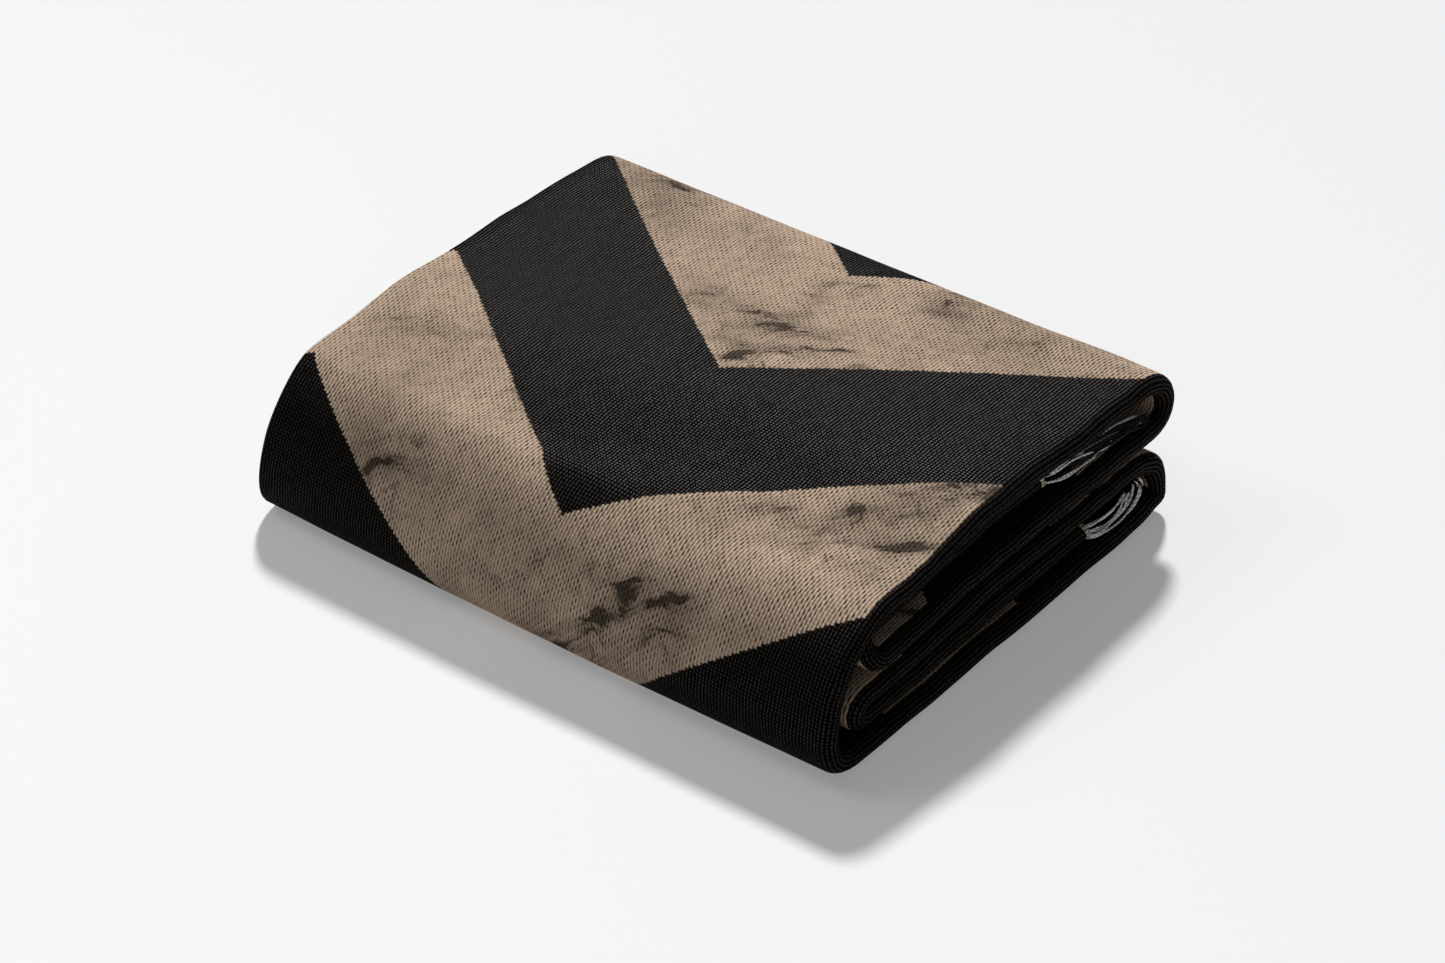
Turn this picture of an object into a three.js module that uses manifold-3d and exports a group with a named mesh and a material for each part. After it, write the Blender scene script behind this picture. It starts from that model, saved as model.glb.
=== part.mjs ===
// A woven cotton throw with a fringe on each short end, folded and lying on a flat surface.
//
// The cloth is doubled twice across its width, which makes a band of four plies, and the band
// is then folded back and forth along its length: each fringed end is tucked in twice, and the
// two halves are closed like a book. Looking along X at the near side, from the top:
//
//      top            ______________________________
//      upper tuck    /   __________fringe           \
//      upper return |   (___________________________/
//      lower return |    ___________________________
//      lower tuck   |   (__________fringe           \
//      bottom        \______________________________/
//
// Millimetres, +Z up. X runs along the folds, from the far side to the near side, Y runs from
// the closed spine to the open folds, and the origin is the middle of the box's underside.

import * as THREE from "three";
import Module from "manifold-3d";

// The cloth
const CLOTH_WIDTH = 1270;
const PLIES = 4;
const CLOTH_THICKNESS = 2.4;
const PLY_PITCH = 2.9;
const HALF_WIDTH = CLOTH_WIDTH / PLIES / 2;
const HALF_BAND = ((PLIES - 1) * PLY_PITCH + CLOTH_THICKNESS) / 2;

// How far the two selvedges lie inside the fold beside them, on the far side
const TOP_SELVEDGE_INSET = 1.5;
const INNER_SELVEDGE_INSET = 4;

// The fringe: the woven heading that carries it, and its locks of yarn
const HEADING_LENGTH = 5;
const HEADING_GAP = 0.35;
const LOCKS_PER_PLY = 20;
const LOCK_RADIUS = 0.95;
const LOCK_SIDES = 3;
const LOCK_TIP = 0.6;
const LOCK_ROOT = 2;
const LOCK_MARGIN = 5;
const LOCK_SHORTEST = 0.86;
const LOCK_UNEVENNESS = 0.24;

// How the pile has settled, as shares of its height: it is lower towards the spine and at the
// far open corner, and a little uneven all along
const SPINE_DROP = 0.12;
const SPINE_DROP_START = { far: -20, near: 5 };
const SPINE_DROP_END = { far: -115, near: -105 };
const CORNER_DROP = 0.035;
const CORNER_DROP_START = 10;
const CORNER_DROP_END = 100;
const SWELL = 0.01;
const SWELL_LENGTH = 190;
const SWELL_SLANT = 0.4;

// The band's layers: the height of the band's middle, how far the layer lies towards the near
// side, and the ends of its level run in Y
const LAYERS = {
  upperTuck: {
    height: 59,
    slide: { far: -1, near: -9 },
    spineEnd: { far: -83, near: -86 },
    openEnd: { far: 33, near: 33 },
  },
  upperReturn: {
    height: 45.8,
    slide: { far: 0, near: 0 },
    spineEnd: { far: -83, near: -86 },
    openEnd: { far: 108, near: 109 },
  },
  top: {
    height: 71,
    slide: { far: 0, near: -3 },
    spineEnd: { far: -88, near: -84 },
    openEnd: { far: 106, near: 108 },
  },
  bottom: {
    height: HALF_BAND,
    slide: { far: 0, near: 1.5 },
    spineEnd: { far: -111, near: -108 },
    openEnd: { far: 98, near: 100 },
  },
  lowerReturn: {
    height: 32.2,
    slide: { far: 0, near: -1 },
    spineEnd: { far: -92, near: -98 },
    openEnd: { far: 95, near: 92 },
  },
  lowerTuck: {
    height: 18.8,
    slide: { far: 0, near: -2.5 },
    spineEnd: { far: -92, near: -98 },
    openEnd: { far: 61, near: 61 },
  },
};

// The turns that join them, in the order in which the cloth runs from one fringe to the other.
// side is -1 at the spine and 1 at the open folds; leave and arrive are the lengths of the
// curve's two handles, which set how far and how round the turn bulges.
const TURNS = [
  {
    from: "upperTuck", to: "upperReturn", side: -1, steps: 8,
    leave: { far: 9, near: 9 }, arrive: { far: 9, near: 9 },
  },
  {
    from: "upperReturn", to: "top", side: 1, steps: 9,
    leave: { far: 17, near: 18 }, arrive: { far: 23, near: 23 },
  },
  {
    from: "top", to: "bottom", side: -1, steps: 12,
    leave: { far: 24, near: 34 }, arrive: { far: 28, near: 32 },
  },
  {
    from: "bottom", to: "lowerReturn", side: 1, steps: 9,
    leave: { far: 24, near: 26 }, arrive: { far: 37, near: 41 },
  },
  {
    from: "lowerReturn", to: "lowerTuck", side: -1, steps: 8,
    leave: { far: 9, near: 9 }, arrive: { far: 9, near: 9 },
  },
];

// How many straight steps each stretch is built in
const LEVEL_STEPS = 4;
const PLY_STEPS = 3;
const OUTER_FOLD_STEPS = 6;
const INNER_FOLD_STEPS = 4;

// The line that a lock follows from its heading, as shares of the lock's reach in Y and of the
// height between the floor and the ceiling of its hollow. rootShare is how much of the ply's
// own height is left.
const UPPER_FRINGE = {
  layer: "upperTuck",
  reach: 70,
  floor: 52.9,
  ceiling: 63.9,
  line: [
    { along: 0.3, height: 0.72, rootShare: 0.75 },
    { along: 0.65, height: 0.5, rootShare: 0.5 },
    { along: 1, height: 0.22, rootShare: 0.4 },
  ],
};
const LOWER_FRINGE = {
  layer: "lowerTuck",
  reach: 38,
  floor: 12.7,
  ceiling: 25,
  line: [
    { along: 0.35, height: 0.65, rootShare: 0.7 },
    { along: 0.8, height: 0.88, rootShare: 0.2 },
    { along: 1, height: 0.62, rootShare: 0.15 },
    { along: 0.93, height: 0.2, rootShare: 0.1 },
  ],
};

const COLOURS = { cloth: 0x2b2822, fringe: 0xcfc9bf };

const { lerp, smoothstep } = THREE.MathUtils;

// The value of a { far, near } pair at a place across the width, 0 at the far side, 1 at the near
function between(pair, across) {
  return lerp(pair.far, pair.near, across);
}

function acrossAt(x) {
  return (x + HALF_WIDTH) / (2 * HALF_WIDTH);
}

// The pile as settled: where a point of the evenly stacked band comes to lie
function settle(point) {
  const across = acrossAt(point.x);
  const start = between(SPINE_DROP_START, across);
  const spineDrop = SPINE_DROP * (1 - smoothstep(point.y, between(SPINE_DROP_END, across), start));
  const cornerDrop = CORNER_DROP * (1 - across) * smoothstep(point.y, CORNER_DROP_START, CORNER_DROP_END);
  const swell = SWELL * Math.sin((2 * Math.PI * (point.y + SWELL_SLANT * point.x)) / SWELL_LENGTH);
  return new THREE.Vector3(point.x, point.y, point.z * (1 - spineDrop - cornerDrop + swell));
}

// The middle line of the band at one place across the width: at each station, a point and a
// normal in Y and Z and how far the band lies towards the near side
function bandLine(across) {
  const at = (name, end) => new THREE.Vector2(between(LAYERS[name][end], across), LAYERS[name].height);
  const slideOf = (name) => between(LAYERS[name].slide, across);
  const stations = [];
  const add = (point, tangent, slide) => {
    stations.push({ point, normal: new THREE.Vector2(-tangent.y, tangent.x), slide });
  };
  let start = at("upperTuck", "openEnd");
  for (const turn of TURNS) {
    const end = turn.side < 0 ? "spineEnd" : "openEnd";
    const leave = at(turn.from, end);
    const arrive = at(turn.to, end);
    const curve = new THREE.CubicBezierCurve(
      leave,
      new THREE.Vector2(leave.x + turn.side * between(turn.leave, across), leave.y),
      new THREE.Vector2(arrive.x + turn.side * between(turn.arrive, across), arrive.y),
      arrive,
    );
    const level = new THREE.Vector2(turn.side, 0);
    for (let i = 0; i < LEVEL_STEPS; i++) {
      add(start.clone().lerp(leave, i / LEVEL_STEPS), level, slideOf(turn.from));
    }
    for (let i = 0; i < turn.steps; i++) {
      const share = i / turn.steps;
      const slide = lerp(slideOf(turn.from), slideOf(turn.to), smoothstep(share, 0, 1));
      add(curve.getPoint(share), curve.getTangent(share), slide);
    }
    start = arrive;
  }
  const last = at("lowerTuck", "openEnd");
  for (let i = 0; i <= LEVEL_STEPS; i++) {
    add(start.clone().lerp(last, i / LEVEL_STEPS), new THREE.Vector2(1, 0), slideOf("lowerTuck"));
  }
  return stations;
}

// The middle of the cloth across its width, folded twice: x along the width, y out of the band.
// From the top selvedge it runs over the outer fold on the near side to the lowest ply, round
// the first crease on the far side, and over the inner fold to the other selvedge.
function plyLine() {
  const outer = ((PLIES - 1) * PLY_PITCH) / 2;
  const inner = PLY_PITCH / 2;
  const foldCentre = HALF_WIDTH - outer;
  const line = [];
  const level = (from, to, y) => {
    const normal = Math.sign(to - from);
    for (let i = 1; i < PLY_STEPS; i++) {
      line.push({ x: lerp(from, to, i / PLY_STEPS), y, nx: 0, ny: normal });
    }
  };
  const turn = (x, y, radius, side, way, steps) => {
    for (let i = 0; i <= steps; i++) {
      const angle = (Math.PI * i) / steps;
      const outX = side * Math.sin(angle);
      const outY = way * Math.cos(angle);
      line.push({ x: x + radius * outX, y: y + radius * outY, nx: side * way * outX, ny: side * way * outY });
    }
  };
  const topEnd = -HALF_WIDTH + TOP_SELVEDGE_INSET;
  const innerEnd = -HALF_WIDTH + INNER_SELVEDGE_INSET;
  const creaseCentre = -HALF_WIDTH + inner;
  line.push({ x: topEnd, y: outer, nx: 0, ny: 1 });
  level(topEnd, foldCentre, outer);
  turn(foldCentre, 0, outer, 1, 1, OUTER_FOLD_STEPS);
  level(foldCentre, creaseCentre, -outer);
  turn(creaseCentre, -PLY_PITCH, inner, -1, -1, INNER_FOLD_STEPS);
  level(creaseCentre, foldCentre, -inner);
  turn(foldCentre, 0, inner, 1, -1, INNER_FOLD_STEPS);
  level(foldCentre, innerEnd, inner);
  line.push({ x: innerEnd, y: inner, nx: 0, ny: -1 });
  return line;
}

// The outline of the folded cloth's edge: one side of the middle line, then back along the other
function plyOutline() {
  const side = (way) =>
    plyLine().map((p) => {
      const off = (way * CLOTH_THICKNESS) / 2;
      return new THREE.Vector2(p.x + off * p.nx, p.y + off * p.ny);
    });
  const outline = [...side(1), ...side(-1).reverse()];
  return THREE.ShapeUtils.isClockWise(outline) ? outline.reverse() : outline;
}

// A closed body from rows of points, each round the same outline, that follow one another in Y
function loftedBody(rows, capFaces) {
  const size = rows[0].length;
  const last = (rows.length - 1) * size;
  const faces = [];
  for (let r = 0; r < rows.length - 1; r++) {
    for (let k = 0; k < size; k++) {
      const a = r * size + k;
      const b = r * size + ((k + 1) % size);
      faces.push(a, b + size, b, a, a + size, b + size);
    }
  }
  for (const [a, b, c] of capFaces) {
    faces.push(a, b, c, last + c, last + b, last + a);
  }
  const values = rows.flat().flatMap((p) => p.toArray());
  const body = new THREE.BufferGeometry();
  body.setAttribute("position", new THREE.Float32BufferAttribute(values, 3));
  body.setIndex(faces);
  return body;
}

// The folded cloth: its edge outline carried along the band's line
function clothBody() {
  const outline = plyOutline();
  const lines = outline.map((p) => bandLine(acrossAt(p.x)));
  const rows = lines[0].map((_, station) =>
    outline.map((p, k) => {
      const { point, normal, slide } = lines[k][station];
      return settle(new THREE.Vector3(p.x + slide, point.x + p.y * normal.x, point.y + p.y * normal.y));
    }),
  );
  return loftedBody(rows, THREE.ShapeUtils.triangulateShape(outline, []));
}

// The heading: a short length of the same folded edge, parted from the cloth's end
function headingBody(fringe) {
  const outline = plyOutline();
  const layer = LAYERS[fringe.layer];
  const rows = [HEADING_GAP, HEADING_GAP + HEADING_LENGTH].map((past) =>
    outline.map((p) => {
      const end = between(layer.openEnd, acrossAt(p.x));
      const slide = between(layer.slide, acrossAt(p.x));
      return settle(new THREE.Vector3(p.x + slide, end + past, layer.height + p.y));
    }),
  );
  return loftedBody(rows, THREE.ShapeUtils.triangulateShape(outline, []));
}

// An even spread of values from 0 to 1 that never falls into step with the locks
const GOLDEN_TURN = (Math.sqrt(5) - 1) / 2;
function scatter(index, turn) {
  return (index * turn) % 1;
}

// One lock of the fringe: each has a lane of its own in X, so that no two meet
function lockBody(fringe, ply, x, index) {
  const layer = LAYERS[fringe.layer];
  const rootHeight = layer.height + ((PLIES - 1) / 2 - ply) * PLY_PITCH;
  const rootEnd = between(layer.openEnd, acrossAt(x)) + HEADING_GAP + HEADING_LENGTH;
  const slide = between(layer.slide, acrossAt(x));
  const reach = fringe.reach * lerp(LOCK_SHORTEST, 1, scatter(index, GOLDEN_TURN));
  const lift = LOCK_UNEVENNESS * (scatter(index, GOLDEN_TURN ** 2) - 0.5);
  const stations = [
    new THREE.Vector2(rootEnd - LOCK_ROOT, rootHeight),
    new THREE.Vector2(rootEnd + LOCK_ROOT, rootHeight),
    ...fringe.line.map((p) => {
      const share = Math.min(1, Math.max(0, p.height + lift));
      const free = lerp(fringe.floor, fringe.ceiling, share);
      return new THREE.Vector2(rootEnd + p.along * reach, lerp(free, rootHeight, p.rootShare));
    }),
  ];
  const rows = stations.map((middle, i) => {
    const before = stations[Math.max(0, i - 1)];
    const after = stations[Math.min(stations.length - 1, i + 1)];
    const along = after.clone().sub(before).normalize();
    const radius = LOCK_RADIUS * (i === stations.length - 1 ? LOCK_TIP : 1);
    return Array.from({ length: LOCK_SIDES }, (_, k) => {
      const angle = (2 * Math.PI * k) / LOCK_SIDES + Math.PI / 2;
      const out = radius * Math.sin(angle);
      const lane = x + slide + radius * Math.cos(angle);
      return settle(new THREE.Vector3(lane, middle.x - out * along.y, middle.y + out * along.x));
    });
  });
  return loftedBody(rows, [[0, 1, 2]]);
}

const wasm = await Module();
wasm.setup();

function solidOf(geometry) {
  return new wasm.Manifold(
    new wasm.Mesh({
      numProp: 3,
      vertProperties: geometry.attributes.position.array,
      triVerts: new Uint32Array(geometry.index.array),
    }),
  );
}

function geometryOf(solid) {
  const mesh = solid.getMesh();
  const geometry = new THREE.BufferGeometry();
  geometry.setAttribute("position", new THREE.BufferAttribute(mesh.vertProperties, 3));
  geometry.setIndex(new THREE.BufferAttribute(mesh.triVerts, 1));
  return geometry;
}

// A fringe: its heading and all its locks, joined at their roots
function fringeBody(fringe) {
  let fringeSolid = solidOf(headingBody(fringe));
  const locks = PLIES * LOCKS_PER_PLY;
  const first = -HALF_WIDTH + INNER_SELVEDGE_INSET + LOCK_MARGIN;
  const last = HALF_WIDTH - 2 * LOCK_MARGIN;
  for (let i = 0; i < locks; i++) {
    const x = lerp(first, last, i / (locks - 1));
    fringeSolid = fringeSolid.add(solidOf(lockBody(fringe, i % PLIES, x, i)));
  }
  return geometryOf(fringeSolid);
}

function meshOf(name, geometry, colour) {
  const material = new THREE.MeshStandardMaterial({ color: colour, roughness: 0.95, metalness: 0 });
  const mesh = new THREE.Mesh(geometry, material);
  mesh.name = name;
  return mesh;
}

const foldedThrow = new THREE.Group();
foldedThrow.add(meshOf("cloth", clothBody(), COLOURS.cloth));
foldedThrow.add(meshOf("fringe_upper", fringeBody(UPPER_FRINGE), COLOURS.fringe));
foldedThrow.add(meshOf("fringe_lower", fringeBody(LOWER_FRINGE), COLOURS.fringe));

// The origin goes to the middle of the underside
const box = new THREE.Box3().setFromObject(foldedThrow);
const middle = box.getCenter(new THREE.Vector3());
foldedThrow.position.set(-middle.x, -middle.y, -box.min.z);

export default foldedThrow;
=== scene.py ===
"""A woven cotton throw with fringed ends, folded to a low pad, in metres on its CAD frame."""

import math
import random

import bmesh
import bpy
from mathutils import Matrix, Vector, noise


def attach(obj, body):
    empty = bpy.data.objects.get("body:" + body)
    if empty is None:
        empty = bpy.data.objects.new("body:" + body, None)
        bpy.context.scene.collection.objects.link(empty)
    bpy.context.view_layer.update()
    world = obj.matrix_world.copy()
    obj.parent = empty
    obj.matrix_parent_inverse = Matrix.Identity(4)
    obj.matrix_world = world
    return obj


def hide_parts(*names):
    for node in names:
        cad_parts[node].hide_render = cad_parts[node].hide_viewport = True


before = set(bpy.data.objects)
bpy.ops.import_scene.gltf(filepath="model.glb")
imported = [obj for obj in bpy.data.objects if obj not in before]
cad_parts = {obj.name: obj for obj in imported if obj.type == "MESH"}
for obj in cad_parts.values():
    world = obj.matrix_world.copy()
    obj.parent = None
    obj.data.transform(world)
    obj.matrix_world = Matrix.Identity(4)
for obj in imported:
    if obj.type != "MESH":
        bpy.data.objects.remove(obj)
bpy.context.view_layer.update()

bl_info = {
    "name": "Folded Woven Throw",
    "version": (1, 0, 0),
    "blender": (4, 5, 0),
    "location": "3D View > Sidebar > Throw",
    "description": "Builds a folded woven cotton throw with fringed ends",
    "category": "Add Mesh",
}

MM = 0.001

# The source's own sizes, in millimetres
CLOTH_WIDTH = 1270.0
PLIES = 4
PLY_PITCH = 2.9
CAD_THICKNESS = 2.4
HALF_WIDTH = CLOTH_WIDTH / PLIES / 2
HALF_BAND = ((PLIES - 1) * PLY_PITCH + CAD_THICKNESS) / 2
TOP_SELVEDGE_INSET = 1.5
INNER_SELVEDGE_INSET = 4.0
ORIGIN_SHIFT = (-0.27, -0.10)

# Each layer of the band: its height, how far it lies towards the near side, and where its
# level run ends in Y, each pair at the far and the near side
LAYERS = {
    "upper_tuck": dict(height=59.0, slide=(-1.0, -9.0), spine=(-83.0, -86.0), open=(38.4, 38.4)),
    "upper_return": dict(height=45.8, slide=(0.0, 0.0), spine=(-83.0, -86.0), open=(108.0, 115.5)),
    "top": dict(height=71.0, slide=(0.0, -3.0), spine=(-88.0, -84.0), open=(106.0, 106.5)),
    "bottom": dict(height=HALF_BAND, slide=(0.0, 2.8), spine=(-111.0, -108.0), open=(98.0, 101.5)),
    "lower_return": dict(height=32.2, slide=(0.0, 0.2), spine=(-92.0, -98.0), open=(95.0, 93.0)),
    "lower_tuck": dict(height=18.8, slide=(0.0, -1.0), spine=(-92.0, -98.0), open=(66.4, 66.4)),
}

# Each turn: the layers that it joins, its side, its two handles, and its rows of faces
TURNS = (
    dict(start="upper_tuck", end="upper_return", side=-1, leave=(9, 9), arrive=(9, 9), rows=12),
    dict(start="upper_return", end="top", side=1, leave=(17, 21), arrive=(23, 28), rows=16),
    dict(start="top", end="bottom", side=-1, leave=(23, 33), arrive=(31.5, 38.5), rows=30),
    dict(start="bottom", end="lower_return", side=1, leave=(24, 26), arrive=(37, 41), rows=30),
    dict(start="lower_return", end="lower_tuck", side=-1, leave=(9, 9), arrive=(9, 9), rows=12),
)
ROW_LENGTH = 6.5

# How far the lower plies of a tuck's end reach past the upper ones, for each millimetre of height,
# and the length over which they come to it
END_FAN = 0.55
END_FAN_LENGTH = 40.0

# The pinch of the lower open fold at the near side: where along the turn, how wide, and its rise
PINCH = (
    dict(place=0.30, width=0.07, rise=-3.2),
    dict(place=0.52, width=0.12, rise=1.2),
)

# The soft troughs and ridges of the top and the spine, in millimetres: where each starts and
# ends in X and Y, its half width, and its height above (or depth below) the cloth round it
CREASES = (
    dict(start=(-150, -62), end=(-20, -84), width=13, rise=-1.1),
    dict(start=(-60, -96), end=(60, -70), width=11, rise=0.9),
    dict(start=(40, -100), end=(150, -52), width=15, rise=-1.2),
    dict(start=(-158, 12), end=(-70, 30), width=16, rise=-0.9),
    dict(start=(-120, 96), end=(20, 100), width=14, rise=0.8),
    dict(start=(60, 92), end=(152, 104), width=12, rise=-0.9),
    dict(start=(128, -70), end=(132, 60), width=12, rise=0.7),
    dict(start=(20, 20), end=(110, 52), width=20, rise=-0.7),
)

# How the stack settles: the shares of its height that it loses over the spine and at the far
# corner, and the long swell of its layers
SPINE_DROP = 0.12
CORNER_DROP = 0.004
SWELL = dict(share=0.01, length=190.0, slant=0.4)

# Its small departures, in millimetres: the ripple of the top, how far the top sinks at its near
# edge and over its near open corner, how far the far open fold leans in, and how far the spine's
# foot bows out
TOP_RIPPLE = 0.55
EDGE_SINK = 0.5
NEAR_SINK = 1.5
FOLD_LEAN = 4.2
FOOT_BOW = 2.3

# The waver of the side folds and the fine ruffle of the cloth, in millimetres
SIDE_WAVER = 1.1
RUFFLE = 0.22


def mix(a, b, share):
    """The value at one share of the way from a to b."""
    return a + (b - a) * share


def ease(value, low, high):
    """Nought below low, one above high, and a smooth climb between them."""
    share = min(1.0, max(0.0, (value - low) / (high - low)))
    return share * share * (3 - 2 * share)


def across_at(x):
    """How far across the pad a place lies: nought at the far side and one at the near side."""
    return (x + HALF_WIDTH) / (2 * HALF_WIDTH)


def crease_lift(x, y):
    """The height that the listed creases give the top layer at one place."""
    lift = 0.0
    for crease in CREASES:
        start = Vector(crease["start"])
        end = Vector(crease["end"])
        run = end - start
        along = (Vector((x, y)) - start).dot(run) / run.length_squared
        nearest = start + run * min(1.0, max(0.0, along))
        away = (Vector((x, y)) - nearest).length / crease["width"]
        lift += crease["rise"] * math.exp(-away * away)
    return lift


def settle(x, y, z):
    """Where a point of the evenly stacked band comes to lie, as in the source, with creases."""
    across = min(1.0, max(0.0, across_at(x)))
    spine_drop = SPINE_DROP * (1 - ease(y, mix(-115, -105, across), mix(-20, 5, across)))
    corner_drop = CORNER_DROP * (1 - across) * ease(y, 10, 100)
    swell = SWELL["share"] * math.sin(2 * math.pi * (y + SWELL["slant"] * x) / SWELL["length"])
    z *= 1 - spine_drop - corner_drop + swell
    upper = ease(z, 25, 72)
    z += upper * crease_lift(x, y)
    z += upper * TOP_RIPPLE * noise.noise(Vector((x / 46, y / 40, 3.7)))
    z -= EDGE_SINK * ease(z, 55, 76) * ease(x, 128, 157)
    z -= NEAR_SINK * across * ease(y, 20, 115) * ease(z, 40, 72)
    x += FOLD_LEAN * (1 - across) ** 3 * ease(y, 60, 122) * ease(z, 35, 68)
    y -= FOOT_BOW * math.sin(math.pi * across) * (1 - ease(y, -120, -70)) * (1 - ease(z, 20, 62))
    return Vector((x + ORIGIN_SHIFT[0], y + ORIGIN_SHIFT[1], z)) * MM


def bezier(a, b, c, d, t):
    """The point and the way at one share of a curve from a to d, with handles b and c."""
    s = 1 - t
    point = s * s * s * a + 3 * s * s * t * b + 3 * s * t * t * c + t * t * t * d
    tangent = s * s * (b - a) + 2 * s * t * (c - b) + t * t * (d - c)
    return point, tangent.normalized()


def band_plan():
    """Every row of the folded band, in order from one fringe to the other."""
    plan = []
    begin = ("upper_tuck", "open")

    def level(layer, first, last, closed):
        length = abs(LAYERS[layer][last][1] - LAYERS[layer][first][1])
        rows = max(2, round(length / ROW_LENGTH))
        for i in range(rows + 1 if closed else rows):
            plan.append(("level", layer, first, last, i / rows))

    for turn in TURNS:
        end = "spine" if turn["side"] < 0 else "open"
        level(turn["start"], begin[1], end, False)
        for i in range(turn["rows"]):
            plan.append(("turn", turn, end, None, i / turn["rows"]))
        begin = (turn["end"], end)
    level("lower_tuck", "spine", "open", True)
    return plan


PLAN = band_plan()


def band_row(row, across):
    """A row's middle point and outward way in Y and Z, and its slide, at one place across."""
    kind, which, first, last, share = row
    if kind == "level":
        layer = LAYERS[which]
        start = mix(*layer[first], across)
        end = mix(*layer[last], across)
        way = Vector((math.copysign(1, end - start), 0))
        point = Vector((mix(start, end, share), layer["height"]))
        slide = mix(*layer["slide"], across)
    else:
        a, d = LAYERS[which["start"]], LAYERS[which["end"]]
        leave = Vector((mix(*a[first], across), a["height"]))
        arrive = Vector((mix(*d[first], across), d["height"]))
        out = Vector((which["side"], 0))
        point, way = bezier(leave, leave + out * mix(*which["leave"], across),
                            arrive + out * mix(*which["arrive"], across), arrive, share)
        slide = mix(mix(*a["slide"], across), mix(*d["slide"], across), ease(share, 0, 1))
    return point, Vector((-way.y, way.x)), slide


def band_lengths():
    """How far along the cloth each row lies, in millimetres."""
    lengths = [0.0]
    points = [band_row(row, 0.5)[0] for row in PLAN]
    for before, after in zip(points, points[1:]):
        lengths.append(lengths[-1] + (after - before).length)
    return lengths


def ply_line():
    """The cloth's middle across its width, doubled twice: x, height in the band, and length."""
    outer = (PLIES - 1) * PLY_PITCH / 2
    inner = PLY_PITCH / 2
    fold = HALF_WIDTH - outer
    crease = -HALF_WIDTH + inner
    line = []

    def level(start, end, height, steps):
        for i in range(steps):
            line.append((mix(start, end, i / steps), height))

    def turn(x, y, radius, side, way, steps):
        for i in range(steps):
            angle = math.pi * i / steps
            line.append((x + side * radius * math.sin(angle), y + way * radius * math.cos(angle)))

    top_end = -HALF_WIDTH + TOP_SELVEDGE_INSET
    inner_end = -HALF_WIDTH + INNER_SELVEDGE_INSET
    # From the selvedge on top to the one inside. Each call's last number is its count of columns
    level(top_end, fold, outer, 22)
    turn(fold, 0, outer, 1, 1, 10)
    level(fold, crease, -outer, 48)
    turn(crease, -PLY_PITCH, inner, -1, -1, 6)
    level(crease, fold, -inner, 12)
    turn(fold, 0, inner, 1, -1, 6)
    level(fold, inner_end, inner, 12)
    line.append((inner_end, inner))
    lengths = [0.0]
    for (xa, ya), (xb, yb) in zip(line, line[1:]):
        lengths.append(lengths[-1] + math.hypot(xb - xa, yb - ya))
    return line, lengths


PLY, PLY_LENGTHS = ply_line()
BAND_LENGTHS = band_lengths()
CLOTH_LENGTH = BAND_LENGTHS[-1]


def pinch_rise(row, x):
    """How far the pinched fold stands out or in at one row."""
    kind, turn, share = PLAN[row][0], PLAN[row][1], PLAN[row][4]
    if kind == "level" or turn["end"] != "lower_return":
        return 0.0
    near = ease(x, 40, 150)
    rises = (p["rise"] * math.exp(-((share - p["place"]) / p["width"]) ** 2) for p in PINCH)
    return near * sum(rises)


def end_fan(layer, z, end_distance):
    """How far a ply of a tuck's end lies past the tuck's middle, for its height."""
    return END_FAN * (LAYERS[layer]["height"] - z) * (1 - ease(end_distance, 0, END_FAN_LENGTH))


def cloth_point(column, row):
    """Where the cloth lies at one column across its width and one row along its length."""
    x, height = PLY[column]
    point, outward, slide = band_row(PLAN[row], across_at(x))
    run = BAND_LENGTHS[row]
    waver = SIDE_WAVER * noise.noise(Vector((run / 27, 1.3, 0.4))) * ease(abs(x), 100, 158)
    ruffle = RUFFLE * noise.noise(Vector((x / 30, run / 24, height)))
    y, z = point + outward * (height + ruffle + pinch_rise(row, x))
    if PLAN[row][1] in ("upper_tuck", "lower_tuck"):
        y += end_fan(PLAN[row][1], z, min(run, CLOTH_LENGTH - run))
    place = settle(x + slide + waver, y, z)
    place.z = max(place.z, 0.5 * throw_sizes().cloth_thickness)
    return place


def throw_sizes():
    return bpy.context.scene.throw_sizes


def clear_selection():
    for obj in bpy.context.selected_objects:
        obj.select_set(False)


def make_active(obj):
    clear_selection()
    obj.select_set(True)
    bpy.context.view_layer.objects.active = obj


def apply_modifier(obj, kind, **settings):
    make_active(obj)
    modifier = obj.modifiers.new(kind.title(), kind)
    for name, value in settings.items():
        setattr(modifier, name, value)
    bpy.ops.object.modifier_apply(modifier=modifier.name)


class Value:
    """A number that varies over the surface, for plain arithmetic."""

    def __init__(self, recipe, socket):
        self.recipe = recipe
        self.socket = socket

    def _with(self, operation, *others):
        return self.recipe.math(operation, self, *others)

    def __add__(self, other):
        return self._with("ADD", other)

    __radd__ = __add__

    def __sub__(self, other):
        return self._with("SUBTRACT", other)

    def __rsub__(self, other):
        return self.recipe.math("SUBTRACT", other, self)

    def __mul__(self, other):
        return self._with("MULTIPLY", other)

    __rmul__ = __mul__

    def __truediv__(self, other):
        return self._with("DIVIDE", other)

    def __gt__(self, other):
        return self._with("GREATER_THAN", other)

    def __lt__(self, other):
        return self._with("LESS_THAN", other)

    def __mod__(self, other):
        return self._with("FLOORED_MODULO", other)

    def __abs__(self):
        return self._with("ABSOLUTE")

    def floor(self):
        return self._with("FLOOR")

    def cos(self):
        return self._with("COSINE")

    def least(self, other):
        return self._with("MINIMUM", other)

    def most(self, other):
        return self._with("MAXIMUM", other)


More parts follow.
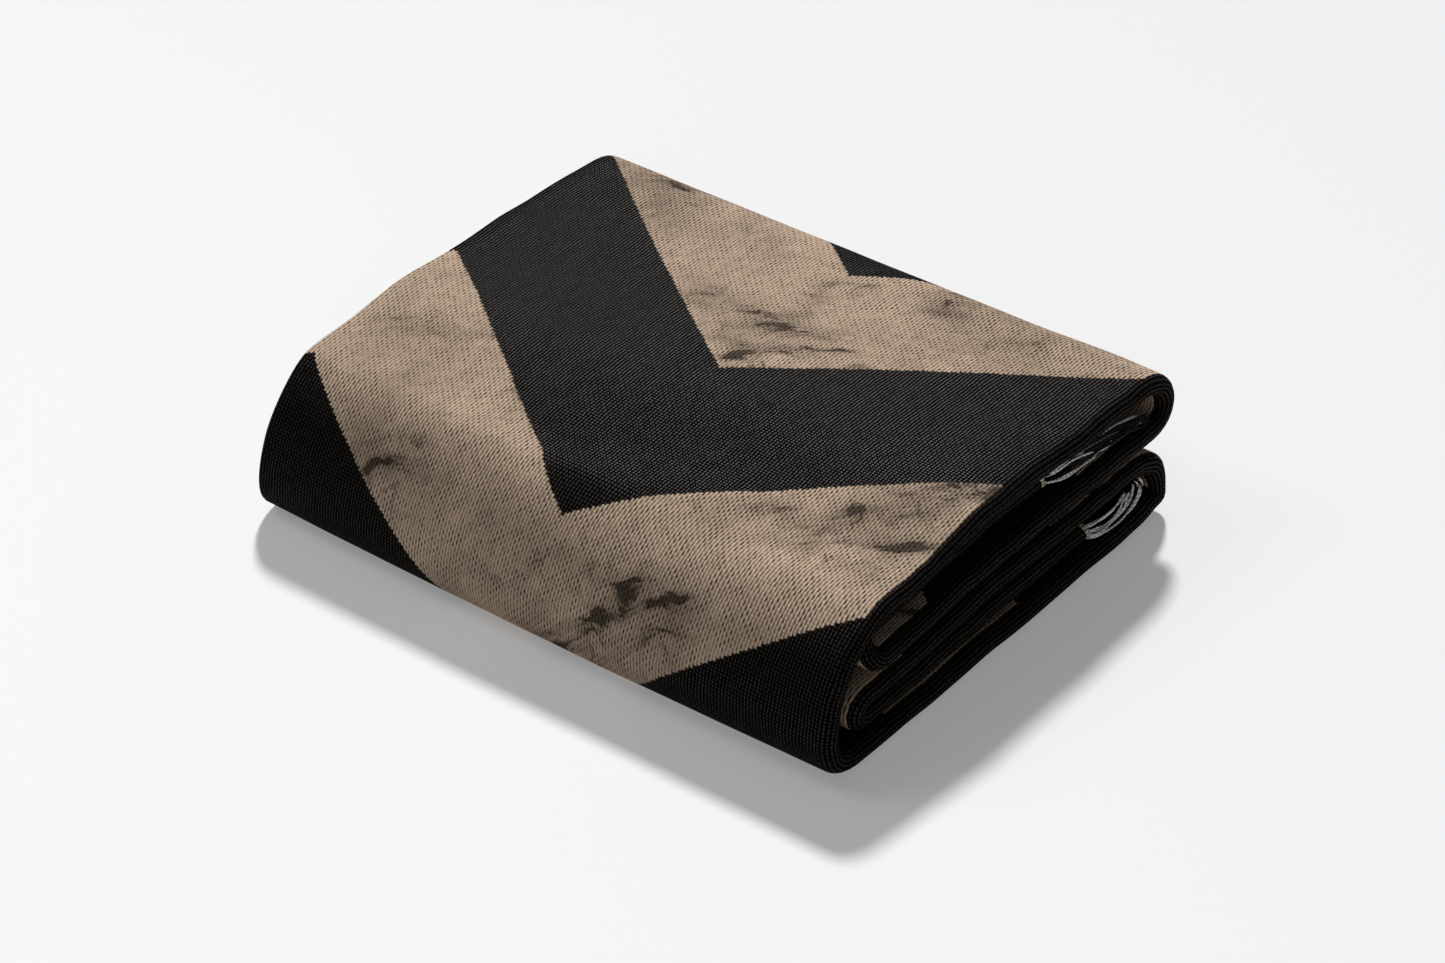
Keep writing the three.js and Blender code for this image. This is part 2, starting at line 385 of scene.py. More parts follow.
class Recipe:
    """One material's nodes."""

    def __init__(self, name):
        self.material = bpy.data.materials.new(name)
        self.material.use_nodes = True
        self.tree = self.material.node_tree
        self.shader = self.tree.nodes["Principled BSDF"]

    def node(self, kind, settings=None, inputs=None, output=0):
        """Adds a node, its settings first, then the values or links of its sockets."""
        made = self.tree.nodes.new(kind)
        for name, value in (settings or {}).items():
            setattr(made, name, value)
        for name, value in (inputs or {}).items():
            self.plug(value, made.inputs[name])
        return Value(self, made.outputs[output])

    def plug(self, value, socket):
        if isinstance(value, Value):
            self.tree.links.new(value.socket, socket)
        elif hasattr(value, "__len__") and len(value) == 3 and socket.type == "RGBA":
            socket.default_value = (*value, 1.0)
        else:
            socket.default_value = value

    def math(self, operation, *values):
        return self.node("ShaderNodeMath", {"operation": operation}, dict(enumerate(values)))

    def colour(self, share, first, second, blend="MIX"):
        return self.node("ShaderNodeMix", {"data_type": "RGBA", "blend_type": blend},
                         {0: share, 6: first, 7: second}, output=2)

    def split(self, vector):
        """The three parts of a vector or a colour."""
        node = self.tree.nodes.new("ShaderNodeSeparateXYZ")
        self.tree.links.new(vector.socket, node.inputs[0])
        return [Value(self, socket) for socket in node.outputs]

    def ramp(self, value, low, high):
        """Nought to one as the value climbs from low to high, smoothly."""
        return self.node("ShaderNodeMapRange", {"interpolation_type": "SMOOTHSTEP"},
                         {"Value": value, "From Min": low, "From Max": high})

    def shade(self, colour, share):
        """A colour made lighter or darker by a number."""
        grey = self.node("ShaderNodeCombineColor", None, {0: share, 1: share, 2: share})
        return self.colour(1.0, colour, grey, "MULTIPLY")

    def noise(self, place, scale, detail=2.0, roughness=0.5):
        return self.node("ShaderNodeTexNoise", None,
                         {"Vector": place, "Scale": scale, "Detail": detail, "Roughness": roughness})

    def place(self, x, y, z=0.0):
        return self.node("ShaderNodeCombineXYZ", None, {"X": x, "Y": y, "Z": z})

    def finish(self, **sockets):
        for name, value in sockets.items():
            self.plug(value, self.shader.inputs[name.replace("_", " ")])
        return self.material


# The worn marks: the cosine and sine of their slant, how far noise pulls them about, in metres,
# and the most that they hide of the tan
MARK_SLANT = (0.85, 0.53)
MARK_PULL = 0.03
MOST_WORN = 0.93

# The squares of a hole's half width and half length, in ribs and picks, and how many steps of the
# zigzag's edge go to one pick
HOLE_REACH = (0.08, 0.1)
STEPS_A_PICK = 4.0


def worn_marks(r, look, width, length):
    """How far the tan is worn or smudged at each place, from nought to one."""
    pull = r.noise(r.place(width, length, 3.1), 32.0, 3.0) - 0.5
    push = r.noise(r.place(width, length, 8.6), 32.0, 3.0) - 0.5
    x = width + pull * MARK_PULL
    y = length + push * MARK_PULL
    along = x * MARK_SLANT[0] + y * MARK_SLANT[1]
    across = y * MARK_SLANT[0] - x * MARK_SLANT[1]
    gather = r.noise(r.place(width, length, 5.9), 1 / look.mark_spacing, 1.0)
    cluster = r.ramp(gather, 0.44, 0.62)

    ink = r.noise(r.place(along * 0.5, across * 1.5, 6.3), 0.5 / look.mark_length, 4.0, 0.58)
    streak = r.ramp(ink, 0.575, 0.7) * cluster * 0.85
    halo = r.ramp(ink, 0.4, 0.66) * cluster * 0.38
    cloud = r.ramp(r.noise(r.place(x, y, 2.7), 15.0, 5.0, 0.62), 0.4, 0.75) * 0.36
    line = abs(r.noise(r.place(x * 1.3, y * 0.8, 9.2), 42.0, 3.0, 0.5) - 0.5)
    wisp = r.ramp(line, 0.02, 0.0) * r.ramp(push, -0.02, 0.1) * (0.1 + cluster * 0.35)
    return (streak + halo + cloud + wisp).least(MOST_WORN)


def woven_black(look, rib_column, pick):
    """Where the yarn is black: the zigzag's dark bands and the border, in loom steps."""
    cell_x = (rib_column + 0.5) * look.rib_pitch
    cell_y = ((pick * STEPS_A_PICK).floor() + 0.5) * (look.pick_pitch / STEPS_A_PICK)
    sway = abs((cell_x / look.zigzag_width) % 1.0 - 0.5) * 2.0
    climb = cell_y / look.zigzag_height + sway * look.zigzag_slope + look.zigzag_start
    band = (climb % 1.0 < look.dark_share) * 1.0
    from_fold = abs((cell_x % (look.zigzag_width * 2)) - look.zigzag_width)
    border = (from_fold < look.border_reach) * 1.0
    return (band + border).least(1.0)


def weave_holes(r, warp, pick):
    """The pinholes between the ribs, in every second pick of each gap, where shade is painted into the
    colour and the cloth dips.
    """
    gap = (warp + 0.5).floor()
    beside = warp - gap
    staggered = pick + ((gap + 1.0) % 2.0) * 0.5
    between = staggered - staggered.floor() - 0.5
    uneven = r.noise(r.place(gap * 0.61, staggered.floor() * 0.77, 1.5), 1.0, 0.0)
    oval = 1 - (beside * beside) / HOLE_REACH[0] - (between * between) / HOLE_REACH[1]
    return oval.most(0.0) * (uneven * 2.2 - 0.4).most(0.1)


def woven_cotton():
    """Plain-woven cotton in two colours, with a zigzag in its loom steps and worn smudges, and with
    painted highlight on its ribs and painted shade between them and in its holes.
    """
    look = bpy.context.scene.throw_looks
    r = Recipe("woven_cotton")
    uv = r.node("ShaderNodeUVMap", {"uv_map": "cloth"})
    width, length, _ = r.split(uv)

    sag = r.noise(r.place(width, length, 2.2), 60.0, 2.0) - 0.5
    warp = width / look.rib_pitch + sag * 1.2
    pick = length / look.pick_pitch
    hole = weave_holes(r, warp, pick)
    rib_column = warp.floor()
    rib_side = warp - rib_column - 0.5
    rib = 1 - rib_side * rib_side * 4.0
    knuckle = ((pick - 0.25 + (rib_column % 2.0) * 0.5) * (2 * math.pi)).cos()
    twist = ((rib_side + pick * 2.0) * (2 * math.pi)).cos()
    pass_over = (pick * (4 * math.pi)).cos()
    fleck = r.noise(r.place(warp * 0.9, pick * 1.2, 5.5), 1.0, 2.0) - 0.5
    slub = r.noise(r.place(rib_column * 0.37, pick * 0.44), 1.0, 1.0)
    weave = rib * (0.03 * knuckle + 0.015 * twist) + pass_over * 0.08

    # Tan: painted highlight on the rib crests and knuckles, and painted shade between the ribs
    lit = r.ramp(0.4 + rib * 0.3 + weave + fleck * 0.4, 0.0, 0.9)
    light_yarn = r.colour(lit, look.tan_painted_shade, look.tan_painted_lit)
    light_yarn = r.colour(worn_marks(r, look, width, length), light_yarn, look.worn_dye)
    # Black: the same painted highlight on the crests and painted shade between them; the crests also
    # carry the gloss
    crest = r.ramp(rib * 0.92 + weave * 2.2 + fleck * 0.38, 0.55, 1.12)
    dark_yarn = r.colour(crest, look.black_painted_shade, look.black_painted_lit)
    dark = woven_black(look, rib_column, pick)
    yarn = r.colour(dark, light_yarn, dark_yarn)
    heading = (length < look.heading_depth) + (length > CLOTH_LENGTH * MM - look.heading_depth)
    yarn = r.colour(heading.least(1.0), yarn, look.heading_colour)
    yarn = r.shade(yarn, 0.85 + slub * 0.3)
    # Painted shade in the pinholes between the yarns
    colour = r.colour(hole.least(0.94), yarn, look.hole_painted_shade)

    relief = rib * (0.4 + dark * 0.36) + knuckle * (0.03 + dark * 0.05)
    relief = relief + twist * 0.012 + pass_over * 0.045
    relief = relief - hole * 0.4 + (slub - 0.5) * 0.35
    bump = r.node("ShaderNodeBump", None,
                  {"Strength": 1.0, "Distance": look.rib_pitch * 0.44, "Height": relief})
    gloss = crest * crest * (1 - hole.least(1.0)) * (0.03 + dark * look.black_gloss)
    return r.finish(Base_Color=colour, Roughness=0.95, Normal=bump, Specular_IOR_Level=0.02,
                    Coat_Weight=gloss, Coat_Roughness=0.52)


def fringe_yarn():
    """Twisted cotton yarn: white and grey ends among near-black ones."""
    look = bpy.context.scene.throw_looks
    r = Recipe("fringe_yarn")
    uv = r.node("ShaderNodeUVMap", {"uv_map": "yarn"})
    chance, along, _ = r.split(uv)
    tint = chance.floor() / float(TINTS)
    round_way = chance - chance.floor()
    twist = ((along / look.yarn_twist + round_way) * (2 * math.pi)).cos()
    pale = r.colour(r.ramp(tint, 0.0, 0.1), look.yarn_grey, look.yarn_white)
    colour = r.colour((tint > look.pale_share) * 1.0, pale, look.yarn_dark)
    # Painted shade in the grooves of the yarn's twist
    colour = r.shade(colour, 0.9 + twist * 0.1)
    bump = r.node("ShaderNodeBump", None, {"Strength": 0.7, "Distance": 0.0003, "Height": twist})
    return r.finish(Base_Color=colour, Roughness=0.88, Normal=bump, Specular_IOR_Level=0.12)


class ThrowSizes(bpy.types.PropertyGroup):
    """The sizes of the sheet and the yarns."""

    cloth_thickness: bpy.props.FloatProperty(
        name="Cloth thickness", description="Thickness of one ply of the woven cloth",
        default=0.0023, min=0.001, max=0.003, unit="LENGTH")
    yarn_thickness: bpy.props.FloatProperty(
        name="Yarn thickness", description="Thickness of one yarn of the fringe",
        default=0.0015, min=0.0008, max=0.003, unit="LENGTH")
    yarn_spacing: bpy.props.FloatProperty(
        name="Yarn spacing", description="Distance between the yarns along the cloth's end",
        default=0.0032, min=0.002, max=0.02, unit="LENGTH")
    yarn_seed: bpy.props.IntProperty(
        name="Yarn seed", description="Start of the even chance that lays the yarns", default=7)


class ThrowLooks(bpy.types.PropertyGroup):
    """The colours of the yarns and the repeat of the woven zigzag."""

    rib_pitch: bpy.props.FloatProperty(
        name="Rib pitch", description="Distance between the ribs", default=0.00168, unit="LENGTH")
    pick_pitch: bpy.props.FloatProperty(
        name="Pick pitch", description="Distance between every second pick", default=0.0032,
        unit="LENGTH")
    zigzag_width: bpy.props.FloatProperty(
        name="Zigzag width", description="Width of one zig and one zag", default=0.3175, unit="LENGTH")
    zigzag_height: bpy.props.FloatProperty(
        name="Zigzag height", description="Height of one dark and one light band", default=0.205,
        unit="LENGTH")
    zigzag_slope: bpy.props.FloatProperty(
        name="Zigzag slope", description="Rise of a zig, in band heights", default=0.56)
    zigzag_start: bpy.props.FloatProperty(
        name="Zigzag start", description="Where the first band starts, in band heights", default=0.6)
    dark_share: bpy.props.FloatProperty(
        name="Dark share", description="Share of the height that is dark", default=0.53)
    mark_spacing: bpy.props.FloatProperty(
        name="Mark spacing", description="Distance between the clusters of worn marks", default=0.07,
        unit="LENGTH")
    mark_length: bpy.props.FloatProperty(
        name="Mark length", description="Usual length of one worn mark", default=0.0085,
        unit="LENGTH")
    border_reach: bpy.props.FloatProperty(
        name="Border reach", description="Reach of the black border to each side of the folds",
        default=0.0062, unit="LENGTH")
    heading_depth: bpy.props.FloatProperty(
        name="Heading depth", description="Depth of the pale heading at each short end",
        default=0.0028, unit="LENGTH")
    pale_share: bpy.props.FloatProperty(
        name="Pale share", description="Share of the fringe's yarns that are pale", default=0.5)
    # The tan and the black each come as a lit copy with painted highlight and a shaded copy with
    # painted shade, mixed along the ribs
    tan_painted_lit: bpy.props.FloatVectorProperty(
        name="Tan, lit", description="Tan yarn on its knuckles", subtype="COLOR",
        default=(0.545, 0.414, 0.306))
    tan_painted_shade: bpy.props.FloatVectorProperty(
        name="Tan, shaded", description="Tan yarn between its knuckles", subtype="COLOR",
        default=(0.12, 0.083, 0.056))
    worn_dye: bpy.props.FloatVectorProperty(
        name="Worn dye", description="Grey-brown smudges in the tan", subtype="COLOR",
        default=(0.035, 0.027, 0.021))
    # Black yarn as a lit copy with painted highlight and a shaded copy with painted shade
    black_painted_lit: bpy.props.FloatVectorProperty(
        name="Black, lit", description="Black yarn on its knuckles", subtype="COLOR",
        default=(0.027, 0.022, 0.0178))
    black_painted_shade: bpy.props.FloatVectorProperty(
        name="Black, shaded", description="Black yarn between its knuckles", subtype="COLOR",
        default=(0.0012, 0.001, 0.0008))
    black_gloss: bpy.props.FloatProperty(
        name="Black gloss", description="Soft gloss on the black yarn's knuckles", default=0.23)
    # The hole colour is painted shade in the pinholes between the yarns
    hole_painted_shade: bpy.props.FloatVectorProperty(
        name="Hole", description="The dark between the yarns", subtype="COLOR",
        default=(0.004, 0.003, 0.002))
    heading_colour: bpy.props.FloatVectorProperty(
        name="Heading", description="The pale heading at each short end", subtype="COLOR",
        default=(0.6, 0.53, 0.43))
    yarn_twist: bpy.props.FloatProperty(
        name="Yarn twist", description="Length of one turn of a fringe yarn's twist",
        default=0.0026, unit="LENGTH")
    yarn_white: bpy.props.FloatVectorProperty(
        name="White yarn", description="White yarn of the fringe", subtype="COLOR",
        default=(0.96, 0.96, 0.94))
    yarn_grey: bpy.props.FloatVectorProperty(
        name="Grey yarn", description="Grey yarn of the fringe", subtype="COLOR",
        default=(0.3, 0.3, 0.32))
    yarn_dark: bpy.props.FloatVectorProperty(
        name="Dark yarn", description="Near-black yarn of the fringe", subtype="COLOR",
        default=(0.008, 0.0075, 0.014))


class MESH_OT_throw_cloth(bpy.types.Operator):
    """Lays the flat woven cloth in its folds and gives it its thickness"""

    bl_idname = "mesh.throw_cloth"
    bl_label = "Folded cloth"

    def execute(self, context):
        clear_selection()
        columns, rows = len(PLY), len(PLAN)
        bpy.ops.mesh.primitive_grid_add(x_subdivisions=columns - 1, y_subdivisions=rows - 1, size=1.0)
        cloth = context.object
        cloth.name = "cloth_sheet"
        mesh = cloth.data
        if len(mesh.vertices) != columns * rows:
            raise RuntimeError("the flat cloth has another number of corners than its folds need")
        places = []
        for vertex in mesh.vertices:
            column = round((vertex.co.x + 0.5) * (columns - 1))
            row = round((vertex.co.y + 0.5) * (rows - 1))
            places.append((column, row))
        layer = mesh.uv_layers[0]
        layer.name = "cloth"
        for loop in mesh.loops:
            column, row = places[loop.vertex_index]
            layer.data[loop.index].uv = (PLY_LENGTHS[column] * MM, BAND_LENGTHS[row] * MM)
        for vertex, (column, row) in zip(mesh.vertices, places):
            vertex.co = cloth_point(column, row)
        apply_modifier(cloth, "SOLIDIFY", thickness=throw_sizes().cloth_thickness, offset=0.0,
                       use_even_offset=False)
        make_active(cloth)
        bpy.ops.object.mode_set(mode="EDIT")
        bpy.ops.mesh.select_all(action="SELECT")
        bpy.ops.mesh.normals_make_consistent(inside=False)
        bpy.ops.object.mode_set(mode="OBJECT")
        bpy.ops.object.shade_smooth()
        cloth.data.materials.clear()
        cloth.data.materials.append(woven_cotton())
        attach(cloth, "root")
        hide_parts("cloth")
        return {"FINISHED"}


# Where the yarns of each fringe lie, in millimetres: the hollow's floor and ceiling, how far
# the yarns reach, how they rise or fall on the way, as shares of the reach and of the hollow's
# height, and the share of the reach that curls back
FRINGES = {
    "fringe_upper": dict(layer="upper_tuck", floor=52.4, ceiling=64.6, reach=(58, 74),
                         line=((0.0, None), (0.3, 0.72), (0.65, 0.5), (1.0, 0.25)), curl=0.0),
    "fringe_lower": dict(layer="lower_tuck", floor=12.2, ceiling=25.4, reach=(34, 44),
                         line=((0.0, None), (0.35, 0.55), (0.75, 0.85), (1.0, 0.7)), curl=0.35),
}

# The yarns that spill out at the near side, in millimetres: how many each bunch has, how far they
# part, how thick they are, the share of them that is pale, and the line that the bunch follows
SPILLS = {
    "fringe_upper": (
        dict(yarns=2, spread=0.35, thick=0.8, pale=1.0,
             line=((147, 34, 61), (151.5, 44, 61.9), (152.4, 64, 62.4), (152.8, 86, 62.2),
                   (153.6, 103, 60.4), (154.5, 113, 57.6))),
        dict(yarns=4, spread=0.5, thick=0.95, pale=0.95,
             line=((146, 33, 59.5), (150.5, 45, 60.2), (151.5, 56, 60.4), (152, 66, 58.6),
                   (152.5, 76, 55.9), (152.5, 84, 54.0), (152.2, 90, 56.0))),
        dict(yarns=3, spread=0.35, thick=0.9, pale=0.95,
             line=((146, 35, 56.5), (151.5, 44, 56.0), (153, 52, 55.2), (153.4, 62, 54.2),
                   (153.2, 72, 53.4), (152.6, 80, 54.4))),
        dict(yarns=10, spread=1.3, thick=1.0, pale=0.08,
             line=((146, 33, 61), (149.5, 50, 61.8), (150, 70, 61.6), (151.5, 90, 60.0),
                   (154, 106, 57.5), (156, 114, 55.0))),
        dict(yarns=9, spread=1.2, thick=1.0, pale=0.12,
             line=((146, 34, 58.5), (150, 52, 59.0), (151.0, 70, 59.2), (152.5, 90, 58.0),
                   (155, 104, 55.6), (156.5, 111, 54.0))),
        dict(yarns=7, spread=0.9, thick=0.95, pale=0.1,
             line=((147, 36, 57.0), (151.5, 50, 57.6), (152.5, 66, 56.8), (153.5, 80, 56.0),
                   (155, 94, 56.8), (156, 104, 58.0))),
    ),
    "fringe_lower": (
        dict(yarns=4, spread=0.7, thick=0.95, pale=0.9,
             line=((153, 60, 21.5), (157.5, 70, 21.6), (158.2, 80, 21.0), (158.2, 88, 21.6),
                   (158, 94, 23.4), (157.6, 98, 25.2))),
        dict(yarns=4, spread=0.6, thick=0.95, pale=0.9,
             line=((153, 62, 18.0), (158, 72, 17.6), (158.8, 82, 17.4), (158.6, 91, 19.2),
                   (158.2, 95, 22.0), (157.6, 97.5, 25.0))),
        dict(yarns=7, spread=1.0, thick=1.05, pale=0.85,
             line=((150, 62, 15.5), (158.0, 72, 13.6), (159.4, 86, 12.4), (158.8, 97, 13.4),
                   (158.2, 104, 16.4), (157.6, 106.5, 20.5), (157, 104, 24.4))),
        dict(yarns=9, spread=1.1, thick=1.0, pale=0.15,
             line=((153, 62, 16.2), (158, 74, 15.0), (158.2, 86, 14.8), (157.8, 96, 16.6),
                   (157.2, 101, 20.0), (156.8, 102, 23.6))),
    ),
}
SPILL_STEPS = 20

# How far in from the side folds the first and the last yarn stand, how far a root lies inside its
# heading, and how much the yarns stray: their rise as a share of the hollow, the rest in
# millimetres
FRINGE_INSETS = (9, 14)
ROOT_DEPTH = 2.5
STRAY = dict(rise=0.3, drift=5, wave=(0.6, 2.0))
YARN_STEPS = 11

# A yarn's two ends are this share of its thickness. Its tint is a whole number below TINTS, and a
# spilled yarn's lies among the pale ones or among the dark ones
END_SHARE = 0.55
TINTS = 1000
PALE_TINTS = (0, 450)
DARK_TINTS = (550, TINTS)


def yarn_path(fringe, ply, x, chance):
    """The middle line of one yarn, from inside its heading to its loose end."""
    layer = LAYERS[fringe["layer"]]
    root_height = layer["height"] + ((PLIES - 1) / 2 - ply) * PLY_PITCH
    root = mix(*layer["open"], across_at(x)) + end_fan(fringe["layer"], root_height, 0.0)
    slide = mix(*layer["slide"], across_at(x))
    reach = chance.uniform(*fringe["reach"])
    lift = chance.uniform(-STRAY["rise"], STRAY["rise"])
    drift = chance.uniform(-STRAY["drift"], STRAY["drift"])
    wave = chance.uniform(*STRAY["wave"])
    phase = chance.uniform(0, 2 * math.pi)
    line = fringe["line"]
    heights = [root_height]
    for _, share in line[1:]:
        heights.append(mix(fringe["floor"], fringe["ceiling"], min(0.97, max(0.03, share + lift))))
    points = []
    for i in range(YARN_STEPS + 1):
        share = i / YARN_STEPS
        after = next((k for k in range(1, len(line)) if share <= line[k][0]), len(line) - 1)
        local = (share - line[after - 1][0]) / (line[after][0] - line[after - 1][0])
        z = mix(heights[after - 1], heights[after], ease(local, 0, 1))
        loose = ease(share, 0.05, 0.5)
        side = x + slide + drift * ease(share, 0.1, 1) + loose * wave * math.sin(phase + share * 9)
        z += loose * 0.8 * math.sin(phase * 1.7 + share * 11)
        z = min(fringe["ceiling"], max(fringe["floor"], z))
        y = root - ROOT_DEPTH + share * reach - fringe["curl"] * reach * ease(share, 0.85, 1)
        points.append(settle(side, y, z))
    return points


def curve_through(line, share):
    """The place at one share of the way along a smooth curve through a line's points."""
    ends = [line[0] * 2 - line[1]] + line + [line[-1] * 2 - line[-2]]
    place = share * (len(line) - 1)
    k = min(int(place), len(line) - 2)
    t = place - k
    a, b, c, d = ends[k:k + 4]
    return 0.5 * (2 * b + (c - a) * t + (2 * a - 5 * b + 4 * c - d) * t * t
                  + (3 * b - a - 3 * c + d) * t * t * t)


def spill_path(fringe, bunch, chance):
    """One yarn of a bunch that spills out: the bunch's line, parted and curled by chance."""
    line = [Vector(place) for place in bunch["line"]]
    part = Vector([chance.gauss(0, 1) * bunch["spread"] for _ in range(3)])
    part.y *= 2.5
    wave = chance.uniform(0.15, 0.5)
    phase = chance.uniform(0, 2 * math.pi)
    length = chance.uniform(0.8, 1.0)
    points = []
    for i in range(SPILL_STEPS + 1):
        share = length * i / SPILL_STEPS
        point = curve_through(line, share)
        loose = ease(share, 0.0, 0.35)
        point += part * mix(0.55, 1.0, loose)
        point += Vector((0.0, 0.0, 1.0)) * loose * wave * math.sin(phase + share * 13)
        point += Vector((1.0, 0.0, 0.0)) * loose * wave * math.sin(phase * 1.7 + share * 10)
        z = min(fringe["ceiling"], max(fringe["floor"], point.z))
        points.append(settle(point.x, point.y, z))
    return points


def add_yarn(mesh, layer, points, thickness, tint, sides=4):
    """Adds one yarn to a mesh as a closed tube, with its tint and length in its map."""
    rings = []
    length = 0.0
    for i, point in enumerate(points):
        before, after = points[max(0, i - 1)], points[min(len(points) - 1, i + 1)]
        way = (after - before).normalized()
        side = way.cross(Vector((0, 0, 1))).normalized()
        up = side.cross(way)
        length += (point - points[i - 1]).length if i else 0.0
        radius = thickness / 2 * (END_SHARE if i in (0, len(points) - 1) else 1.0)
        ring = []
        for k in range(sides):
            angle = 2 * math.pi * k / sides
            rim = point + side * radius * math.cos(angle) + up * radius * math.sin(angle)
            ring.append(mesh.verts.new(rim))
        rings.append((ring, length))
    for (ring, start), (after, end) in zip(rings, rings[1:]):
        for k in range(sides):
            face = mesh.faces.new((ring[k], ring[(k + 1) % sides], after[(k + 1) % sides], after[k]))
            face.smooth = True
            corners = ((k, start), (k + 1, start), (k + 1, end), (k, end))
            for loop, (turn, run) in zip(face.loops, corners):
                loop[layer].uv = (tint + turn / (sides + 0.001), run)
    for ring, order, run in ((rings[0][0], -1, 0.0), (rings[-1][0], 1, length)):
        face = mesh.faces.new(ring[::order])
        for loop in face.loops:
            loop[layer].uv = (tint, run)


class MESH_OT_throw_fringe(bpy.types.Operator):
    """Lays the loose yarns of both fringes in their hollows"""

    bl_idname = "mesh.throw_fringe"
    bl_label = "Fringes"

    def execute(self, context):
        sizes = throw_sizes()
        material = fringe_yarn()
        for node, fringe in FRINGES.items():
            chance = random.Random(f"{node} {sizes.yarn_seed}")
            data = bpy.data.meshes.new(f"{node}_yarns")
            mesh = bmesh.new()
            layer = mesh.loops.layers.uv.new("yarn")
            first = -HALF_WIDTH + FRINGE_INSETS[0]
            last = HALF_WIDTH - FRINGE_INSETS[1]
            count = round((last - first) * MM / sizes.yarn_spacing)
            for ply in range(PLIES):
                for i in range(count):
                    x = mix(first, last, (i + chance.uniform(0.1, 0.9)) / count)
                    path = yarn_path(fringe, ply, x, chance)
                    thickness = sizes.yarn_thickness * chance.uniform(0.75, 1.1)
                    add_yarn(mesh, layer, path, thickness, chance.randrange(TINTS))
            for bunch in SPILLS[node]:
                for _ in range(bunch["yarns"]):
                    path = spill_path(fringe, bunch, chance)
                    thickness = bunch["thick"] * chance.uniform(0.75, 1.1) * MM
                    pale = chance.random() < bunch["pale"]
                    tint = chance.randrange(*(PALE_TINTS if pale else DARK_TINTS))
                    add_yarn(mesh, layer, path, thickness, tint, 5)
            bmesh.ops.recalc_face_normals(mesh, faces=mesh.faces)
            mesh.to_mesh(data)
            mesh.free()
            yarns = bpy.data.objects.new(f"{node}_yarns", data)
            context.collection.objects.link(yarns)
            data.materials.append(material)
            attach(yarns, "root")
            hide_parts(node)
        return {"FINISHED"}


# The floor's grey and its faint glow, which keeps the shadow as even as in the photograph
FLOOR_GREY = 0.575
FLOOR_GLOW = 0.23
SKY_STRENGTH = 0.05

# The key light's way up from the throw, its strength, and its width in degrees
SUN = dict(way=(-0.65, 0.905, 1.0), strength=4.42, width=6.0)

# The soft boxes that fill the shadows: each one's place and size, in metres, and its power
SOFTBOXES = {
    "side_softbox": dict(place=(-0.85, -0.5, 1.15), size=0.6, power=3.2),
    "front_softbox": dict(place=(0.75, -1.3, 0.9), size=0.8, power=2.6),
    "top_softbox": dict(place=(-0.6, -0.1, 2.1), size=2.0, power=3.5),
}

# The camera: its angles in degrees, its distance and target in metres, and its lens and sensor
# in millimetres
VIEW = dict(azimuth=37.84, elevation=35.02, distance=1.8335, target=(-0.01015, 0.01869, 0.0),
            lens=100.0, sensor=36.0)


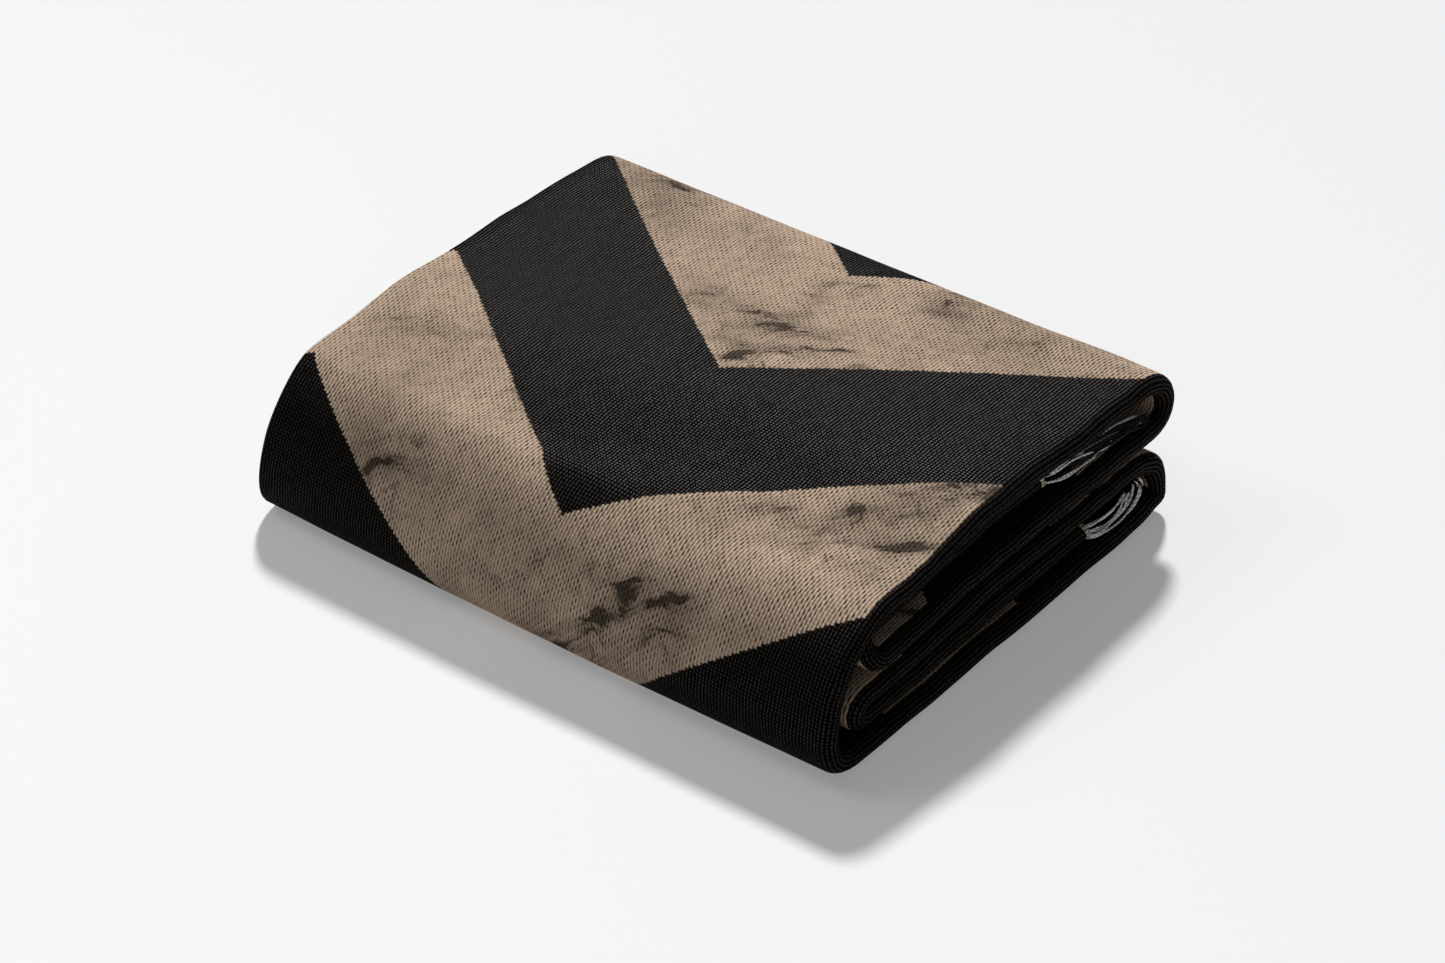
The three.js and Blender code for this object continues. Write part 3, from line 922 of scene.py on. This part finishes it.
class SCENE_OT_throw_stage(bpy.types.Operator):
    """Sets the pale floor, the studio light and the camera"""

    bl_idname = "scene.throw_stage"
    bl_label = "Stage"

    def execute(self, context):
        clear_selection()
        bpy.ops.mesh.primitive_plane_add(size=12, location=(0, 0, 0))
        floor = context.object
        floor.name = "studio_floor"
        paint = Recipe("studio_floor")
        floor.data.materials.append(paint.finish(
            Base_Color=(FLOOR_GREY, FLOOR_GREY, FLOOR_GREY), Roughness=0.95,
            Specular_IOR_Level=0.0, Emission_Color=(1.0, 1.0, 1.0), Emission_Strength=FLOOR_GLOW))

        scene = context.scene
        scene.view_settings.view_transform = "Standard"
        scene.world = bpy.data.worlds.new("studio")
        scene.world.use_nodes = True
        background = scene.world.node_tree.nodes["Background"]
        background.inputs["Color"].default_value = (1, 1, 1, 1)
        background.inputs["Strength"].default_value = SKY_STRENGTH

        key = bpy.data.lights.new("key", "SUN")
        key.energy = SUN["strength"]
        key.angle = math.radians(SUN["width"])
        self.hang(scene, key, Vector(SUN["way"]), Vector())
        for name, box in SOFTBOXES.items():
            light = bpy.data.lights.new(name, "AREA")
            light.energy = box["power"]
            light.size = box["size"]
            self.hang(scene, light, Vector(box["place"]), Vector(box["place"]))

        azimuth = math.radians(VIEW["azimuth"])
        elevation = math.radians(VIEW["elevation"])
        back = Vector((math.sin(azimuth) * math.cos(elevation),
                       -math.cos(azimuth) * math.cos(elevation), math.sin(elevation)))
        lens = bpy.data.cameras.new("camera")
        lens.lens = VIEW["lens"]
        lens.sensor_width = VIEW["sensor"]
        place = Vector(VIEW["target"]) + back * VIEW["distance"]
        scene.camera = self.hang(scene, lens, back, place)
        return {"FINISHED"}

    def hang(self, scene, data, back, place):
        """Adds a light or a camera at its place, with its back turned one way."""
        obj = bpy.data.objects.new(data.name, data)
        obj.location = place
        obj.rotation_euler = back.to_track_quat("Z", "Y").to_euler()
        scene.collection.objects.link(obj)
        return obj


class VIEW3D_PT_throw(bpy.types.Panel):
    """Lists the throw's pieces"""

    bl_label = "Folded throw"
    bl_space_type = "VIEW_3D"
    bl_region_type = "UI"
    bl_category = "Throw"

    def draw(self, context):
        for group in (context.scene.throw_sizes, context.scene.throw_looks):
            for name in type(group).__annotations__:
                self.layout.prop(group, name)
        for operator in OPERATORS:
            self.layout.operator(operator.bl_idname)


OPERATORS = (SCENE_OT_throw_stage, MESH_OT_throw_cloth, MESH_OT_throw_fringe)
CLASSES = (ThrowSizes, ThrowLooks, *OPERATORS, VIEW3D_PT_throw)


def register():
    for item in CLASSES:
        bpy.utils.register_class(item)
    bpy.types.Scene.throw_sizes = bpy.props.PointerProperty(type=ThrowSizes)
    bpy.types.Scene.throw_looks = bpy.props.PointerProperty(type=ThrowLooks)


def unregister():
    del bpy.types.Scene.throw_looks
    del bpy.types.Scene.throw_sizes
    for item in reversed(CLASSES):
        bpy.utils.unregister_class(item)


def main():
    register()
    bpy.ops.scene.throw_stage()
    bpy.ops.mesh.throw_cloth()
    bpy.ops.mesh.throw_fringe()
    PLY_LENGTHS[-1] * MM


if __name__ == "__main__":
    main()
